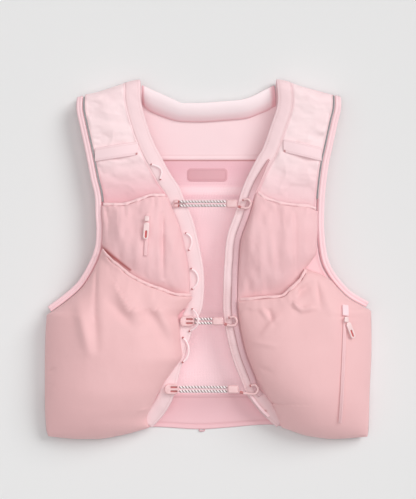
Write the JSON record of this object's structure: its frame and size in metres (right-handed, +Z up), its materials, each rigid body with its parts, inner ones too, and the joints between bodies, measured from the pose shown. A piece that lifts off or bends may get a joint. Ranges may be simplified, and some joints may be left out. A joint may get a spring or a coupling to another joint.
{
  "type": "running hydration vest",
  "caption": "Sleeveless running vest with pockets on the chest and at the hips, closed across the front by elastic cords with hooks, laid flat on its back.",
  "frame": {"origin": "middle of the vest's outline on the ground, under the back panel", "axes": "+Z up from the ground through the front, +Y from the hem to the shoulders, +X to the right seen from above"},
  "size_m": [0.3916, 0.4314, 0.0627],
  "materials": {
    "woven": "thin crinkled ripstop, matt with a soft sheen",
    "mesh": "stretch mesh knit",
    "satin": "smooth stretch woven, soft sheen",
    "tape": "smooth folded binding tape",
    "piping": "reflective grey piping",
    "plastic": "soft moulded pull and clip",
    "braid": "braided elastic cord with dark flecks",
    "rail": "ribbed webbing"
  },
  "bodies": {
    "root": {"arm_binding_left": "tape", "arm_binding_right": "tape", "back_panel": "mesh", "back_yoke": "woven", "blank_label": "woven", "bottom_clip": "plastic", "bottom_hook": "plastic", "bottom_sleeve": "plastic", "bottom_strand_1": "braid", "bottom_strand_2": "braid", "chest_pocket_left": "mesh", "chest_pocket_right": "mesh", "chest_rim_left": "tape", "chest_rim_right": "tape", "chest_zip": "tape", "chest_zip_pull": "plastic", "chest_zip_slider": "plastic", "edge_loop_1": "tape", "edge_loop_2": "tape", "edge_loop_3": "tape", "edge_loop_4": "tape", "edge_loop_5": "tape", "front_binding_left": "tape", "front_binding_right": "tape", "front_panel_left": "woven", "front_panel_right": "woven", "hem_loop": "rail", "hook_rail": "rail", "keeper_strap_left": "woven", "keeper_strap_right": "woven", "lower_back_band": "satin", "lower_pocket_left": "satin", "lower_pocket_right": "satin", "lower_rim_left": "tape", "lower_rim_right": "tape", "middle_clip": "plastic", "middle_hook": "plastic", "middle_sleeve": "plastic", "middle_strand_1": "braid", "middle_strand_2": "braid", "neck_band": "tape", "piping_left": "piping", "piping_right": "piping", "rail_end_loop": "tape", "side_zip": "tape", "side_zip_garage": "tape", "side_zip_pull": "plastic", "side_zip_slider": "plastic", "top_hook": "plastic", "top_sleeve": "plastic", "top_socket_1": "plastic", "top_socket_2": "plastic", "top_strand_1": "braid", "top_strand_2": "braid"}
  },
  "joints": []
}
